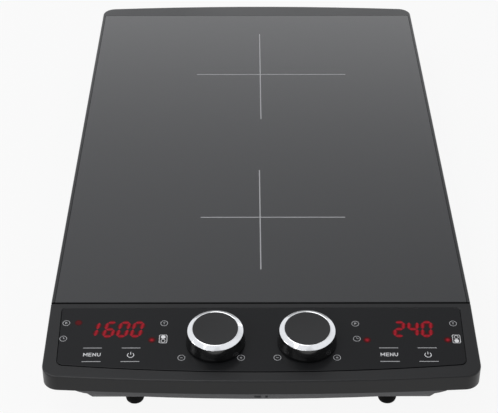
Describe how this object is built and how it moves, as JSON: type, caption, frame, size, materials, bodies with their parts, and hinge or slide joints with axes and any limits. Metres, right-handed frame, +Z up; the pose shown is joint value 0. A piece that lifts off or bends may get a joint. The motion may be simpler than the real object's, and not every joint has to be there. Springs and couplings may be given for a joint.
{
  "type": "induction hob",
  "caption": "Portable flat induction hob: glass ceramic plate in a black casing, sloping control deck with turning knobs and digit displays, on rubber feet.",
  "frame": {"origin": "middle of the footprint, on the surface that the feet stand on", "axes": "+Z up, +Y from the control deck to the back, X across"},
  "size_m": [0.34, 0.6099, 0.0722],
  "materials": {
    "casing_black": "satin moulded",
    "glass_ceramic": "satin glass ceramic, opaque dark",
    "seal_rubber": "matte silicone",
    "overlay_film": "satin film",
    "pan_grey": "satin moulded",
    "foot_rubber": "matte",
    "gland_plastic": "matte moulded",
    "inner_plastic": "matte moulded",
    "display_face": "smoked face",
    "light_lens": "lens",
    "circuit_board": "solder mask",
    "bright_steel": "plain",
    "knob_black": "gloss",
    "knob_chrome": "polished",
    "knob_cap": "satin",
    "sink_aluminium": "extruded",
    "component_plastic": "moulded",
    "ferrite_dark": "sintered",
    "carrier_plastic": "moulded, heat resistant",
    "copper_winding": "lacquered stranded copper",
    "mica_sheet": "pressed mica"
  },
  "bodies": {
    "root": {"air_baffle": "inner_plastic", "board_screws": "bright_steel", "bottom_pan": "pan_grey", "cable_clamp": "inner_plastic", "cable_gland": "gland_plastic", "casing_screws": "bright_steel", "clamp_screws": "bright_steel", "control_board": "circuit_board", "control_board_screws": "bright_steel", "control_overlay": "overlay_film", "display_left": "display_face", "display_right": "display_face", "encoder_left": "bright_steel", "encoder_nuts": "bright_steel", "encoder_right": "bright_steel", "fan_left_frame": "inner_plastic", "fan_right_frame": "inner_plastic", "fan_screws": "bright_steel", "foot_screws": "bright_steel", "front_capacitors": "component_plastic", "front_choke": "ferrite_dark", "front_coil_carrier": "carrier_plastic", "front_coil_ferrites": "ferrite_dark", "front_coil_mica": "mica_sheet", "front_coil_springs": "bright_steel", "front_coil_winding": "copper_winding", "front_heatsink": "sink_aluminium", "front_power_board": "circuit_board", "front_temperature_sensor": "inner_plastic", "front_transistors": "component_plastic", "gland_nut": "gland_plastic", "glass_plate": "glass_ceramic", "glass_seal": "seal_rubber", "indicator_lights": "light_lens", "rear_capacitors": "component_plastic", "rear_choke": "ferrite_dark", "rear_coil_carrier": "carrier_plastic", "rear_coil_ferrites": "ferrite_dark", "rear_coil_mica": "mica_sheet", "rear_coil_springs": "bright_steel", "rear_coil_winding": "copper_winding", "rear_heatsink": "sink_aluminium", "rear_power_board": "circuit_board", "rear_temperature_sensor": "inner_plastic", "rear_transistors": "component_plastic", "rubber_feet": "foot_rubber", "terminal_block": "inner_plastic", "top_casing": "casing_black", "touch_springs": "bright_steel"},
    "knob_left": {"knob_left_cap": "knob_cap", "knob_left_grip": "knob_black", "knob_left_ring": "knob_chrome", "knob_left_shaft": "bright_steel"},
    "knob_right": {"knob_right_cap": "knob_cap", "knob_right_grip": "knob_black", "knob_right_ring": "knob_chrome", "knob_right_shaft": "bright_steel"},
    "fan_left_rotor": {"fan_left_rotor": "inner_plastic"},
    "fan_right_rotor": {"fan_right_rotor": "inner_plastic"}
  },
  "joints": [
    {"name": "knob_left_turn", "type": "hinge", "parent": "root", "child": "knob_left", "pos_m": [-0.036, -0.26286, 0.05567], "axis": [0, -0.1045, 0.9945], "continuous": true},
    {"name": "knob_right_turn", "type": "hinge", "parent": "root", "child": "knob_right", "pos_m": [0.036, -0.26286, 0.05567], "axis": [0, -0.1045, 0.9945], "continuous": true},
    {"name": "fan_left_spin", "type": "hinge", "parent": "root", "child": "fan_left_rotor", "pos_m": [-0.085, 0.01905, 0.02], "axis": [0, 0, 1], "continuous": true},
    {"name": "fan_right_spin", "type": "hinge", "parent": "root", "child": "fan_right_rotor", "pos_m": [0.085, 0.01905, 0.02], "axis": [0, 0, 1], "continuous": true}
  ]
}
